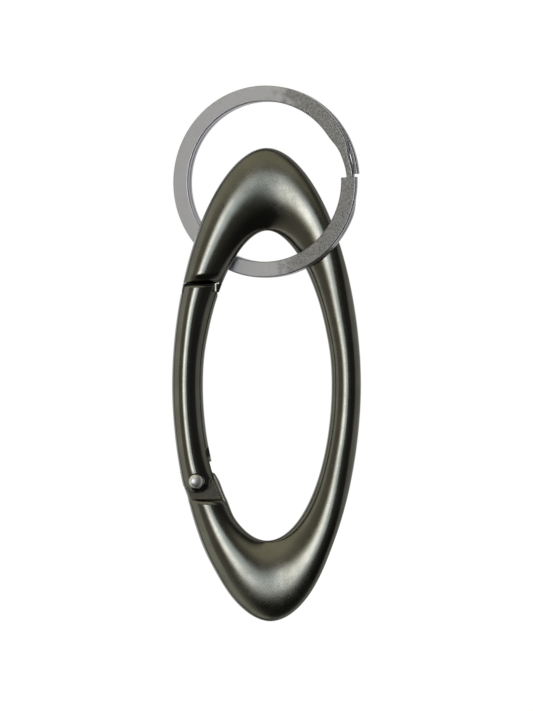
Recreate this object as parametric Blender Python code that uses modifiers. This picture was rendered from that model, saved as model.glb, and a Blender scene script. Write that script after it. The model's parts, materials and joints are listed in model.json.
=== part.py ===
"""Oval snap carabiner with a sprung gate and a flat split ring.

Metres, +Z up. The carabiner's plane is XZ and its front faces -Y. The origin is the point
inside the top of the opening where a hook or loop would carry it.
"""
import math

import bmesh
import bpy
from mathutils import Matrix, Vector

# Oval casting
BODY_HEIGHT = 0.0740
BODY_WIDTH = 0.0299
SIDE_BAR_WIDTH = 0.00475
SIDE_BAR_DEPTH = 0.0044
END_BAR_WIDTH = 0.01265
END_BAR_DEPTH = 0.0047
OUTLINE_POWER_SHARE = 1.85
OPENING_POWER_SHARE = 1.96
TIP_ROUNDING_SHARE = 0.1
CREST_SHIFT_SHARE = 0.2
LEVEL_SECTIONS_SHARE = 0.72

# Gap in the left arm that the gate closes, measured from the middle of the casting
NOSE_END_HEIGHT = 0.0157
NOSE_ROUNDING = 0.0011
HINGE_HEIGHT = -0.0150
HINGE_OFFSET = 0.0010
GATE_LEAN_DEG = 14.5
SHOULDER_DROP = 0.0029
SHOULDER_CHAMFER = 0.0006

# Inward swell of the left arm beside the hinge: its depth and the heights where it starts and ends
HINGE_SWELL = 0.0004
SWELL_TOP = -0.0132
SWELL_RISE = 0.0022
SWELL_FOOT = -0.0212
SWELL_FALL = 0.0035

# Tongue that the gate's ears straddle, and the latch tooth on the nose
TONGUE_THICKNESS = 0.0018
TONGUE_TOP = 0.0013
TONGUE_CORNER = 0.0010
FLUSH_STEP = 0.00003
LATCH_THICKNESS = 0.0014
LATCH_DROP = 0.00085

# Gate
CLEARANCE = 0.0003
GATE_TOP_ROUNDING = 0.00035
EAR_RADIUS = 0.00205
EAR_SHIFT = 0.00035
EAR_START_DEG = 200.0
SLOT_WALL_OFFSET = 0.0004
SLOT_CEILING = 0.0023
RECESS_LINE = 0.0026
RECESS_TOP = 0.0046
RECESS_ROUND = 0.0008
RIB_THICKNESS = 0.0011
FACET_INSET = 0.00067
FACET_NORMAL = Vector((0.783, 0.514, 0.353))

# Rivet
RIVET_RADIUS = 0.00080
RIVET_HEAD_RADIUS = 0.00112
RIVET_DOME = 0.00035
RIVET_FLARE = 0.00035
RIVET_PROUD = 0.00005
RUNNING_CLEARANCE = 0.00005

# Return spring and its follower
FOLLOWER_RADIUS = 0.00065
FOLLOWER_COLLAR = 0.0019
FOLLOWER_STEM_RADIUS = 0.00024
FOLLOWER_STEM_LENGTH = 0.0012
BORE_CLEARANCE = 0.0001
BORE_OFFSET = 0.0009
BORE_END = 0.0105
SPRING_WIRE = 0.00024
SPRING_PITCH = 0.00068

# Split ring; it hangs with its inner edge a little below the top of the opening
RING_DIAMETER = 0.0300
RING_WIRE_WIDTH = 0.0025
RING_WIRE_THICKNESS = 0.0009
RING_TURN_GAP = 0.00041
RING_EDGE = 0.0002
RING_HANG = 0.00515
RING_SIDE_SHIFT = -0.0001
RING_JOG_OUTER = 0.00095
RING_JOG_INNER = 0.00055
RING_TAIL_WIDTH = 0.00065
RING_TILT_DEG = 27.0

# Degrees along the ring's wire, from its front end: where the joggle, the dip of its outer edge,
# the dip of its inner edge, the step to the back and the narrowed tail begin and end
RING_START_DEG = 2.3
RING_END_DEG = 718.0
JOG_DEG = (300.0, 350.0)
OUTER_DIP_DEG = (336.0, 348.0)
INNER_DIP_DEG = (328.0, 344.0)
STEP_BACK_DEG = (340.0, 360.0)
DIP_END_DEG = (360.0, 385.0)
TAIL_DEG = (690.0, 706.0)
JOG_EARLY_SHARE = 0.35
FINE_STEP_DEG = 4.0

# Cutters run this far past what they cut
OVERRUN = 0.004

# Numbers of sections and sides
BAR_STATIONS = 104
BAR_SIDES = 20
ROUND_SIDES = 24
END_ROUNDING_STEPS = 4
ARC_STEPS = 6
DOME_STEPS = 6
RING_STATIONS_PER_TURN = 60
SPRING_POINTS_PER_TURN = 9
STATION_SPREAD_SHARE = 3

# Fineness of searches, of merging and of shading
SEARCH_STEPS = 48
TANGENT_STEP_DEG = 0.05
MERGE_SHARE = 0.01
SHARP_EDGE_DEG = 35.0

# Sizes worked out from the ones above
OPENING_WIDTH = BODY_WIDTH - 2 * SIDE_BAR_WIDTH
OPENING_HEIGHT = BODY_HEIGHT - 2 * END_BAR_WIDTH
CENTRE_Z = -OPENING_HEIGHT / 2
SLOT_THICKNESS = TONGUE_THICKNESS + 2 * CLEARANCE
GATE_TOP_HEIGHT = NOSE_END_HEIGHT - CLEARANCE
RIVET_REACH = SIDE_BAR_DEPTH / 2 + RIVET_PROUD
RING_CENTRE_Z = RING_DIAMETER / 2 - RING_WIRE_WIDTH - RING_HANG
FRONT = Vector((0, -1, 0))


def oval_half(angle, power):
    """Share of the half width that an oval has at a parameter angle, with softened tips."""
    soft = TIP_ROUNDING_SHARE ** power
    full = (soft + 1) ** (2 / power) - TIP_ROUNDING_SHARE ** 2
    here = (soft + math.cos(angle) ** 2) ** (2 / power) - TIP_ROUNDING_SHARE ** 2
    return math.copysign(math.sqrt(max(here, 0) / full), math.cos(angle))


def oval_point(width, height, power, angle):
    """Point (x, z) on an oval round the middle of the casting."""
    across = width / 2 * oval_half(angle, power)
    up = height / 2 * oval_half(angle - math.pi / 2, power)
    return Vector((across, up))


def oval_excess(point, width, height, power):
    """Below zero inside the oval, above zero outside it."""
    soft = TIP_ROUNDING_SHARE ** power
    full = (soft + 1) ** (2 / power) - TIP_ROUNDING_SHARE ** 2
    total = -1 - 2 * soft
    for value, half in ((point.x, width / 2), (point.y, height / 2)):
        total += ((value / half) ** 2 * full + TIP_ROUNDING_SHARE ** 2) ** (power / 2)
    return total


def smooth_step(value):
    held = min(max(value, 0), 1)
    return held * held * (3 - 2 * held)


def ramp(value, limits):
    """Smooth share, 0 at the first limit and 1 at the second."""
    return smooth_step((value - limits[0]) / (limits[1] - limits[0]))


def opening_point(angle):
    """Point (x, z) on the edge of the opening, with the swell beside the hinge."""
    point = oval_point(OPENING_WIDTH, OPENING_HEIGHT, OPENING_POWER_SHARE, angle)
    if point.x < 0:
        upper = ramp(point.y, (SWELL_TOP, SWELL_TOP - SWELL_RISE))
        lower = ramp(point.y, (SWELL_FOOT, SWELL_FOOT + SWELL_FALL))
        point.x += HINGE_SWELL * upper * lower
    return point


def section_direction(angle):
    """Direction across the bar: level along the arms, turning to vertical at the two ends."""
    step = math.radians(TANGENT_STEP_DEG)
    tangent = opening_point(angle + step) - opening_point(angle - step)
    normal_angle = math.atan2(abs(tangent.x), abs(tangent.y))
    rise_share = abs(opening_point(angle).y) / (OPENING_HEIGHT / 2)
    turned = normal_angle * smooth_step((rise_share - LEVEL_SECTIONS_SHARE) / (1 - LEVEL_SECTIONS_SHARE))
    across = math.copysign(math.cos(turned), math.cos(angle))
    return Vector((across, math.copysign(math.sin(turned), math.sin(angle))))


def outer_point(inner, direction):
    """Where the line from a point of the opening's edge meets the casting's outline."""
    near, far = 0.0, BODY_WIDTH
    for _ in range(SEARCH_STEPS):
        middle = (near + far) / 2
        if oval_excess(inner + direction * middle, BODY_WIDTH, BODY_HEIGHT, OUTLINE_POWER_SHARE) < 0:
            near = middle
        else:
            far = middle
    return inner + direction * near


def bar_station(angle, inset=0.0, half_thickness=None):
    """One closed section of the bar: an egg whose crest shifts outward near the ends."""
    inner = opening_point(angle)
    direction = section_direction(angle)
    outer = outer_point(inner, direction)
    middle = (inner + outer) / 2
    end_share = (1 - math.cos(math.pi * min(abs(middle.y) / ((BODY_HEIGHT - END_BAR_WIDTH) / 2), 1))) / 2
    half_width = (outer - inner).length / 2 - inset
    half_depth = (SIDE_BAR_DEPTH + (END_BAR_DEPTH - SIDE_BAR_DEPTH) * end_share) / 2 - inset
    crest = CREST_SHIFT_SHARE * end_share * half_width
    ring = []
    for side in range(BAR_SIDES):
        turn = 2 * math.pi * side / BAR_SIDES
        across = half_width * math.cos(turn) + crest * math.sin(turn) ** 2
        depth = half_depth * math.sin(turn)
        if half_thickness is not None:
            depth = min(max(depth, -half_thickness), half_thickness)
        flat = middle + direction * across
        ring.append(Vector((flat.x, depth, CENTRE_Z + flat.y)))
    return ring


def left_arm_angle(height):
    """Parameter angle of the opening's left edge at a height above the casting's middle."""
    low, high = math.pi / 2, 3 * math.pi / 2
    for _ in range(SEARCH_STEPS):
        middle = (low + high) / 2
        if opening_point(middle).y > height:
            low = middle
        else:
            high = middle
    return (low + high) / 2


def arm_middle(height):
    """Middle of the left arm, and its half width, at a height above the casting's middle."""
    angle = left_arm_angle(height)
    inner = opening_point(angle)
    outer = outer_point(inner, section_direction(angle))
    return (inner + outer) / 2, (inner - outer).length / 2


def loft_mesh(name, rings):
    """Closed solid through sections of equal point count, with flat ends."""
    mesh = bpy.data.meshes.new(name)
    shape = bmesh.new()
    rows = [[shape.verts.new(point) for point in ring] for ring in rings]
    count = len(rows[0])
    for here, following in zip(rows, rows[1:]):
        for side in range(count):
            after = (side + 1) % count
            shape.faces.new((here[side], here[after], following[after], following[side]))
    shape.faces.new(reversed(rows[0]))
    shape.faces.new(rows[-1])
    bmesh.ops.recalc_face_normals(shape, faces=shape.faces)
    shape.to_mesh(mesh)
    shape.free()
    return mesh


def rounding_stations(height, radius, towards):
    """Heights and insets that round off the end of a bar over a radius."""
    stations = []
    for step in range(END_ROUNDING_STEPS + 1):
        turn = math.pi / 2 * step / END_ROUNDING_STEPS
        stations.append((height + towards * radius * (1 - math.sin(turn)), radius * (1 - math.cos(turn))))
    return stations


def add_object(name, mesh, collection, finish=None):
    item = bpy.data.objects.new(name, mesh)
    collection.objects.link(item)
    if finish is not None:
        mesh.materials.append(finish)
    return item


def add_material(name, colour, metallic, roughness):
    finish = bpy.data.materials.new(name)
    finish.use_nodes = True
    shader = finish.node_tree.nodes["Principled BSDF"]
    shader.inputs["Base Color"].default_value = (*colour, 1)
    shader.inputs["Metallic"].default_value = metallic
    shader.inputs["Roughness"].default_value = roughness
    return finish


def combine(target, tool, operation):
    modifier = target.modifiers.new(tool.name, "BOOLEAN")
    modifier.operation = operation
    modifier.object = tool
    modifier.solver = "EXACT"


def make_cutter(item):
    item.hide_render = True
    item.display_type = "WIRE"
    return item


def flat_cutter(name, outline, half_thickness):
    """Prism in the XZ plane, made from a flat curve, with its thickness along Y."""
    curve = bpy.data.curves.new(name, "CURVE")
    curve.dimensions = "2D"
    curve.fill_mode = "BOTH"
    curve.extrude = half_thickness
    spline = curve.splines.new("POLY")
    spline.points.add(len(outline) - 1)
    for point, place in zip(spline.points, outline):
        point.co = (place.x, place.y, 0, 1)
    spline.use_cyclic_u = True
    drawn = bpy.data.objects.new(name + "_outline", curve)
    cutters.objects.link(drawn)
    bpy.context.view_layer.update()
    mesh = bpy.data.meshes.new_from_object(drawn.evaluated_get(bpy.context.evaluated_depsgraph_get()))
    bpy.data.objects.remove(drawn)
    shape = bmesh.new()
    shape.from_mesh(mesh)
    bmesh.ops.remove_doubles(shape, verts=shape.verts, dist=CLEARANCE * MERGE_SHARE)
    bmesh.ops.transform(shape, matrix=Matrix.Rotation(math.pi / 2, 4, "X"), verts=shape.verts)
    bmesh.ops.recalc_face_normals(shape, faces=shape.faces)
    shape.to_mesh(mesh)
    shape.free()
    return make_cutter(add_object(name, mesh, cutters))


def pin_cutter(name, radius, length, centre, direction):
    """Round cutter of a length, about a centre, along a direction."""
    turn = Vector((0, 0, 1)).rotation_difference(direction)
    bpy.ops.mesh.primitive_cylinder_add(vertices=ROUND_SIDES, radius=radius, depth=length, location=centre)
    item = bpy.context.active_object
    item.name = name
    item.rotation_mode = "QUATERNION"
    item.rotation_quaternion = turn
    for holder in list(item.users_collection):
        holder.objects.unlink(item)
    cutters.objects.link(item)
    return make_cutter(item)


def turned_piece(name, profile, collection, finish=None):
    """Solid of revolution about local Z from (radius, height) points, top to bottom."""
    mesh = bpy.data.meshes.new(name)
    shape = bmesh.new()
    points = [shape.verts.new((radius, 0, height)) for radius, height in profile]
    for here, following in zip(points, points[1:]):
        shape.edges.new((here, following))
    shape.to_mesh(mesh)
    shape.free()
    item = add_object(name, mesh, collection, finish)
    screw = item.modifiers.new("turn", "SCREW")
    screw.steps = ROUND_SIDES
    screw.render_steps = ROUND_SIDES
    screw.use_merge_vertices = True
    screw.merge_threshold = CLEARANCE * MERGE_SHARE
    return item


def arc(centre, radius, start_deg, end_deg, steps):
    """Points of a round stretch in the XZ plane."""
    points = []
    for step in range(steps + 1):
        turn = math.radians(start_deg + (end_deg - start_deg) * step / steps)
        points.append(centre + Vector((math.cos(turn), math.sin(turn))) * radius)
    return points


def hang_on(item, pivot):
    """Parent a piece to an empty on its joint's axis without moving it."""
    item.parent = pivot
    item.matrix_parent_inverse = Matrix.LocRotScale(pivot.location, pivot.rotation_euler, None).inverted()


def add_pivot(name, place):
    pivot = bpy.data.objects.new(name, None)
    pivot.empty_display_size = EAR_RADIUS
    pivot.location = place
    parts.objects.link(pivot)
    return pivot


def shade_round(item):
    item.data.shade_smooth()
    item.data.set_sharp_from_angle(angle=math.radians(SHARP_EDGE_DEG))


# Hinge frame: the rivet's centre, the gate's direction there, and the direction across it inward
arm_centre, arm_half_width = arm_middle(HINGE_HEIGHT)
HINGE = Vector((arm_centre.x - HINGE_OFFSET, CENTRE_Z + HINGE_HEIGHT))
GATE_UP = Vector((-math.sin(math.radians(GATE_LEAN_DEG)), math.cos(math.radians(GATE_LEAN_DEG))))
GATE_IN = Vector((GATE_UP.y, -GATE_UP.x))


def hinge_place(inward, upward):
    """Place in the XZ plane, measured from the rivet across and along the gate."""
    return HINGE + GATE_IN * inward + GATE_UP * upward


def in_space(flat, depth=0.0):
    return Vector((flat.x, depth, flat.y))


def arm_stations(low_height, high_height):
    """Heights along the left arm at about the spacing of the bar's own stations."""
    spacing = OPENING_HEIGHT / BAR_STATIONS * STATION_SPREAD_SHARE
    count = max(2, round((high_height - low_height) / spacing))
    return [low_height + (high_height - low_height) * step / count for step in range(count + 1)]


def make_body(finish):
    """Casting: the long way round from the nose to the hinge shoulder, with latch tooth and tongue."""
    shoulder = HINGE_HEIGHT - SHOULDER_DROP
    rings = [bar_station(left_arm_angle(height), inset)
             for height, inset in reversed(rounding_stations(NOSE_END_HEIGHT, NOSE_ROUNDING, 1))]
    start = left_arm_angle(NOSE_END_HEIGHT + NOSE_ROUNDING)
    end = left_arm_angle(shoulder - SHOULDER_CHAMFER) - 2 * math.pi
    for step in range(1, BAR_STATIONS + 1):
        rings.append(bar_station(start + (end - start) * step / BAR_STATIONS))
    rings.append(bar_station(left_arm_angle(shoulder), SHOULDER_CHAMFER))
    body = add_object("hook_body", loft_mesh("hook_body", rings), parts, finish)

    half = TONGUE_THICKNESS / 2
    heights = arm_stations(shoulder - SHOULDER_CHAMFER - OVERRUN, HINGE_HEIGHT + EAR_RADIUS + CLEARANCE)
    tongue = [bar_station(left_arm_angle(height), FLUSH_STEP, half) for height in heights]
    tongue_blank = make_cutter(add_object("tongue_blank", loft_mesh("tongue_blank", tongue), cutters))
    combine(tongue_blank, tongue_top_cutter(), "DIFFERENCE")

    heights = arm_stations(NOSE_END_HEIGHT - LATCH_DROP, NOSE_END_HEIGHT + NOSE_ROUNDING + OVERRUN)
    tooth = [bar_station(left_arm_angle(height), FLUSH_STEP, LATCH_THICKNESS / 2) for height in heights]
    tooth_blank = make_cutter(add_object("tooth_blank", loft_mesh("tooth_blank", tooth), cutters))

    combine(body, tongue_blank, "UNION")
    combine(body, tooth_blank, "UNION")
    combine(body, pin_cutter("tongue_bore", RIVET_RADIUS + RUNNING_CLEARANCE, 2 * SIDE_BAR_DEPTH,
                             in_space(HINGE), FRONT), "DIFFERENCE")
    shade_round(body)
    return body


def tongue_corner():
    """Centre of the tongue's rounded inner top corner."""
    level = HINGE_HEIGHT + TONGUE_TOP - TONGUE_CORNER
    middle, half_width = arm_middle(level)
    return Vector((middle.x + half_width - TONGUE_CORNER, CENTRE_Z + level))


def tongue_top_cutter():
    """Takes away what is above the tongue: a flat for the follower and rounded corners."""
    corner = tongue_corner()
    far = BODY_WIDTH / 2
    outline = [Vector((HINGE.x + far, corner.y))] + arc(corner, TONGUE_CORNER, 0, 90, ARC_STEPS)
    outline += [HINGE + Vector((-far, TONGUE_TOP)), HINGE + Vector((-far, far)), HINGE + Vector((far, far))]
    return flat_cutter("tongue_top", outline, SIDE_BAR_DEPTH)


def make_gate(finish):
    """Bar that closes the left arm: forked at the top, eared and slotted at the hinge."""
    rings = [bar_station(left_arm_angle(height))
             for height in arm_stations(HINGE_HEIGHT - 2 * EAR_RADIUS, GATE_TOP_HEIGHT - GATE_TOP_ROUNDING)]
    for height, inset in rounding_stations(GATE_TOP_HEIGHT, GATE_TOP_ROUNDING, -1)[1:]:
        rings.append(bar_station(left_arm_angle(height), inset))
    gate = add_object("gate", loft_mesh("gate", rings), parts, finish)

    far = BODY_WIDTH
    trim = arc(HINGE + Vector((EAR_SHIFT, 0)), EAR_RADIUS, EAR_START_DEG, 360, ROUND_SIDES)
    trim += [HINGE + Vector((far, far)), HINGE + Vector((far, 2 * far)), HINGE + Vector((-far, 2 * far)),
             Vector((HINGE.x - far, trim[0].y))]
    combine(gate, flat_cutter("ear_outline", trim, SIDE_BAR_DEPTH), "INTERSECT")

    combine(gate, tongue_slot_cutter(), "DIFFERENCE")
    for side_name, side in (("front", -1), ("back", 1)):
        combine(gate, recess_cutter(side_name, side), "DIFFERENCE")
        combine(gate, facet_cutter(side_name, side), "DIFFERENCE")

    bore_centre = hinge_place(BORE_OFFSET, BORE_END / 2)
    bore = pin_cutter("spring_bore", FOLLOWER_RADIUS + BORE_CLEARANCE, BORE_END, in_space(bore_centre),
                      in_space(GATE_UP))
    combine(gate, bore, "DIFFERENCE")
    combine(gate, ear_bore_cutter(), "DIFFERENCE")

    floor = CENTRE_Z + NOSE_END_HEIGHT - LATCH_DROP - CLEARANCE
    fork = [Vector((-far, floor)), Vector((0, floor)), Vector((0, floor + OVERRUN)),
            Vector((-far, floor + OVERRUN))]
    combine(gate, flat_cutter("tip_fork", fork, LATCH_THICKNESS / 2 + CLEARANCE), "DIFFERENCE")
    shade_round(gate)
    return gate


def tongue_slot_cutter():
    """Slot for the tongue between the ears, higher on the inner side for the gate's swing."""
    reach = arm_half_width + OVERRUN
    level = TONGUE_TOP + CLEARANCE
    outline = [HINGE + Vector((-reach, level)), HINGE + Vector((-SLOT_WALL_OFFSET, level)),
               hinge_place(0, SLOT_CEILING), hinge_place(reach, SLOT_CEILING),
               HINGE + Vector((reach, -reach)), HINGE + Vector((-reach, -reach))]
    return flat_cutter("tongue_slot", outline, SLOT_THICKNESS / 2)


def recess_cutter(side_name, side):
    """Recess along one flank of the gate's inner edge, with a rounded upper end, beside a middle rib."""
    reach = arm_half_width + OVERRUN
    low_in = hinge_place(RECESS_LINE, TONGUE_TOP)
    centre = hinge_place(RECESS_LINE + RECESS_ROUND, RECESS_TOP - RECESS_ROUND)
    ear_edge = EAR_SHIFT + EAR_RADIUS
    outline = [HINGE + Vector((ear_edge, -EAR_RADIUS)), HINGE + Vector((ear_edge, 0)), low_in]
    outline += arc(centre, RECESS_ROUND, GATE_LEAN_DEG + 180, GATE_LEAN_DEG + 90, ARC_STEPS)
    outline += [hinge_place(reach, RECESS_TOP), hinge_place(reach, -EAR_RADIUS)]
    cutter = flat_cutter("recess_" + side_name, outline, SIDE_BAR_DEPTH / 2)
    cutter.location.y = side * (RIB_THICKNESS + SIDE_BAR_DEPTH) / 2
    return cutter


def mirrored(profile):
    """A profile from its top down to the middle, and its mirror image below."""
    return profile + [(radius, -height) for radius, height in reversed(profile)]


def face_forward(item):
    """Turn a piece made about local Z so that its axis is the rivet's."""
    item.location = in_space(HINGE)
    item.rotation_euler = (math.pi / 2, 0, 0)
    return item


def ear_bore_cutter():
    """Hole through both ears, widened where the rivet's ends are spread."""
    grow = RUNNING_CLEARANCE
    profile = mirrored([(0, RIVET_REACH + OVERRUN), (RIVET_HEAD_RADIUS + grow, RIVET_REACH + OVERRUN),
                        (RIVET_HEAD_RADIUS + grow, RIVET_REACH), (RIVET_RADIUS + grow, RIVET_REACH - RIVET_FLARE)])
    return make_cutter(face_forward(turned_piece("ear_bore", profile, cutters)))


def facet_cutter(side_name, side):
    """Flat cut off one flank of the gate's inner top corner, beside the latch tooth."""
    middle, half_width = arm_middle(GATE_TOP_HEIGHT)
    normal = Vector((FACET_NORMAL.x, side * FACET_NORMAL.y, FACET_NORMAL.z)).normalized()
    corner = Vector((middle.x + half_width - FACET_INSET, side * (LATCH_THICKNESS / 2 + CLEARANCE),
                     CENTRE_Z + GATE_TOP_HEIGHT))
    return pin_cutter("facet_" + side_name, OVERRUN, OVERRUN, corner + normal * OVERRUN / 2, normal)


def make_rivet(finish):
    """Straight pin whose domed ends are spread into the ears."""
    profile = []
    for step in range(DOME_STEPS + 1):
        turn = math.pi / 2 * step / DOME_STEPS
        profile.append((RIVET_HEAD_RADIUS * math.sin(turn), RIVET_REACH + RIVET_DOME * math.cos(turn)))
    profile.append((RIVET_RADIUS, RIVET_REACH - RIVET_FLARE))
    rivet = face_forward(turned_piece("hinge_rivet", mirrored(profile), parts, finish))
    shade_round(rivet)
    return rivet


def follower_seat():
    """Height above the rivet, along the gate, of the follower's dome centre when the gate is shut."""
    gap = TONGUE_TOP + FOLLOWER_RADIUS + CLEARANCE
    return (gap - BORE_OFFSET * GATE_IN.y) / GATE_UP.y


def make_follower(finish):
    """Small pin with a domed nose on the tongue and a stem inside the spring."""
    collar_top = FOLLOWER_COLLAR
    profile = [(0, collar_top + FOLLOWER_STEM_LENGTH), (FOLLOWER_STEM_RADIUS, collar_top + FOLLOWER_STEM_LENGTH),
               (FOLLOWER_STEM_RADIUS, collar_top), (FOLLOWER_RADIUS, collar_top)]
    for step in range(DOME_STEPS + 1):
        turn = math.pi / 2 * step / DOME_STEPS
        profile.append((FOLLOWER_RADIUS * math.cos(turn), -FOLLOWER_RADIUS * math.sin(turn)))
    follower = turned_piece("spring_follower", profile, parts, finish)
    follower.location = in_space(hinge_place(BORE_OFFSET, follower_seat()))
    follower.rotation_euler = (0, math.atan2(GATE_UP.x, GATE_UP.y), 0)
    shade_round(follower)
    return follower


def make_spring(finish):
    """Compression coil between the follower's collar and the end of the bore."""
    mean_radius = FOLLOWER_RADIUS - SPRING_WIRE / 2
    low = follower_seat() + FOLLOWER_COLLAR + SPRING_WIRE / 2 + RUNNING_CLEARANCE
    high = BORE_END - SPRING_WIRE / 2 - RUNNING_CLEARANCE
    turns = (high - low) / SPRING_PITCH
    count = round(turns * SPRING_POINTS_PER_TURN)
    points = []
    for step in range(count + 1):
        turn = 2 * math.pi * turns * step / count
        middle = hinge_place(BORE_OFFSET + mean_radius * math.cos(turn), low + (high - low) * step / count)
        points.append(in_space(middle, mean_radius * math.sin(turn)))
    far_apart = SPRING_POINTS_PER_TURN // 2
    least = min((here - there).length for index, here in enumerate(points)
                for there in points[index + far_apart:])
    print("return_spring least gap to itself, mm:", round((least - SPRING_WIRE) * 1000, 3))
    curve = bpy.data.curves.new("return_spring", "CURVE")
    curve.dimensions = "3D"
    curve.bevel_depth = SPRING_WIRE / 2
    curve.bevel_resolution = 1
    curve.use_fill_caps = True
    spline = curve.splines.new("POLY")
    spline.points.add(count)
    for point, place in zip(spline.points, points):
        point.co = (*place, 1)
    return add_object("return_spring", curve, parts, finish)


def ring_wire(path_deg):
    """Inner radius, outer radius and layer (0 front, 1 back) of the ring's wire along its path."""
    outer = RING_DIAMETER / 2
    inner = outer - RING_WIRE_WIDTH
    fading = 1 - ramp(path_deg, DIP_END_DEG)
    early, late = ramp(path_deg, JOG_DEG), ramp(path_deg, OUTER_DIP_DEG)
    outer_cut = RING_JOG_OUTER * fading * (JOG_EARLY_SHARE * early + (1 - JOG_EARLY_SHARE) * late)
    inner_cut = RING_JOG_INNER * fading * ramp(path_deg, INNER_DIP_DEG)
    inner_cut += (RING_WIRE_WIDTH - RING_TAIL_WIDTH) * ramp(path_deg, TAIL_DEG)
    return inner + inner_cut, outer - outer_cut, ramp(path_deg, STEP_BACK_DEG)


def ring_section(path_deg):
    """Rounded flat wire section, in the ring's own frame with its front face at -Y."""
    inner, outer, layer = ring_wire(path_deg)
    pitch = RING_WIRE_THICKNESS + RING_TURN_GAP
    middle = pitch * (layer - 0.5)
    half = RING_WIRE_THICKNESS / 2
    edge = RING_EDGE
    corners = [(inner, -half + edge), (inner + edge, -half), (outer - edge, -half), (outer, -half + edge),
               (outer, half - edge), (outer - edge, half), (inner + edge, half), (inner, half - edge)]
    turn = math.radians(RING_START_DEG - path_deg)
    return [Vector((radius * math.cos(turn), middle + depth, radius * math.sin(turn)))
            for radius, depth in corners]


def make_ring(finish):
    """Split ring: one flat wire wound two turns, front turn first, joggled to the back."""
    fine_stretches = ((INNER_DIP_DEG[0], DIP_END_DEG[1]), TAIL_DEG)
    places, here = [], 0.0
    while here < RING_END_DEG:
        places.append(here)
        fine = any(first <= here < last for first, last in fine_stretches)
        here += FINE_STEP_DEG if fine else 360 / RING_STATIONS_PER_TURN
    places.append(RING_END_DEG)
    ring = add_object("split_ring", loft_mesh("split_ring", [ring_section(place) for place in places]),
                      parts, finish)
    ring.rotation_euler = (0, 0, -math.radians(RING_TILT_DEG))
    ring.location = (RING_SIDE_SHIFT, 0, RING_CENTRE_Z)
    shade_round(ring)
    return ring


for old in list(bpy.data.objects):
    bpy.data.objects.remove(old)
parts = bpy.data.collections.new("oval_carabiner")
cutters = bpy.data.collections.new("cutters")
for collection in (parts, cutters):
    bpy.context.scene.collection.children.link(collection)

gunmetal = add_material("gunmetal_plating", (0.09, 0.09, 0.075), 1.0, 0.3)
bright_steel = add_material("bright_steel", (0.75, 0.75, 0.75), 1.0, 0.25)
nickel = add_material("ring_nickel", (0.6, 0.6, 0.6), 1.0, 0.35)
brass = add_material("follower_brass", (0.55, 0.42, 0.22), 1.0, 0.35)
spring_steel = add_material("spring_steel", (0.35, 0.35, 0.35), 1.0, 0.35)

make_body(gunmetal)
gate_pivot = add_pivot("gate_pivot", in_space(HINGE))
for piece in (make_gate(gunmetal), make_rivet(bright_steel), make_spring(spring_steel),
              make_follower(brass)):
    hang_on(piece, gate_pivot)
ring_swivel = add_pivot("ring_swivel", (RING_SIDE_SHIFT, 0, RING_CENTRE_Z))
hang_on(make_ring(nickel), ring_swivel)
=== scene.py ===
"""Oval snap carabiner with a split ring: finished surfaces, studio light and camera."""
import json
import math

import bmesh
import bpy
import numpy as np
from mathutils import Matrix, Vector


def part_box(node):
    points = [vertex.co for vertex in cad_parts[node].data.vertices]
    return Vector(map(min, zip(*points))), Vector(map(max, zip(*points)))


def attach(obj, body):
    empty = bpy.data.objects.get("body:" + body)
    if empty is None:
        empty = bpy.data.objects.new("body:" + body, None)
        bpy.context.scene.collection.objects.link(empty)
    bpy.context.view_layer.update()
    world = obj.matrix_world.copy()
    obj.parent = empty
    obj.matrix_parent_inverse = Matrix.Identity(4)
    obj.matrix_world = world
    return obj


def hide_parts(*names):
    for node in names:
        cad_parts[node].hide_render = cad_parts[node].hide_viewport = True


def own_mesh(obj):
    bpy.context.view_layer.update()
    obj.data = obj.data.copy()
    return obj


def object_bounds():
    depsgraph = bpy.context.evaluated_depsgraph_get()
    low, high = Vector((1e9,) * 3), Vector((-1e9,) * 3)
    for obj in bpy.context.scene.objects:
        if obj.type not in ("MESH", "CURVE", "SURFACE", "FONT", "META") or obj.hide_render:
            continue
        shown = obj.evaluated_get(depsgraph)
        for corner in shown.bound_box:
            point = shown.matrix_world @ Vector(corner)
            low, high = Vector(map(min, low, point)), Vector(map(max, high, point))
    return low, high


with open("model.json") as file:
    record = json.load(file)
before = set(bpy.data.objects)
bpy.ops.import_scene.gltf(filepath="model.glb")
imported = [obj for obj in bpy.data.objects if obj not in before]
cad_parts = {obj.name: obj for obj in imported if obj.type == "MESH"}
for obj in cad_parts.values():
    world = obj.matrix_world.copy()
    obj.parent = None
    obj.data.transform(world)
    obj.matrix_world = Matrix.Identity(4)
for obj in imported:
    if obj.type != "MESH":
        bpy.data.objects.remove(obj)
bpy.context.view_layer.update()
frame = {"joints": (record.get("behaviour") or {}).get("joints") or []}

# Oval casting, in the sizes of the solids
BODY_HEIGHT = 0.0740
BODY_WIDTH = 0.0299
SIDE_BAR_WIDTH = 0.00475
SIDE_BAR_DEPTH = 0.0044
END_BAR_WIDTH = 0.01265
END_BAR_DEPTH = 0.0047
OUTLINE_POWER_SHARE = 1.85
OPENING_POWER_SHARE = 1.96
OPENING_TOP_POWER_SHARE = 1.77
TOP_POWER_RISE_SHARE = 0.4
OPENING_TOP_DROP = 0.0003
OPENING_SHIFT = 0.00011
TIP_LEAN = 0.0006
LEAN_STRETCH = (-0.0240, -0.0370)
LEFT_INSET = 0.0003
INSET_START = (-0.0150, -0.0178)
INSET_END = (-0.0345, -0.0285)
INSET_REACH = 0.0030
TIP_ROUNDING_SHARE = 0.1
LEVEL_SECTIONS_SHARE = 0.72
ARM_CREST_SHARE = 0.10
TOP_CREST_SHARE = 0.20
FOOT_CREST_SHARE = 0.14
NOSE_END_HEIGHT = 0.0157
NOSE_ROUNDING = 0.0018
NOSE_SIDE_ROUNDING = 0.0003
GATE_LEAN_DEG = 14.5
SHOULDER_DROP = 0.00277
SHOULDER_ROUNDING = 0.0009
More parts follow.
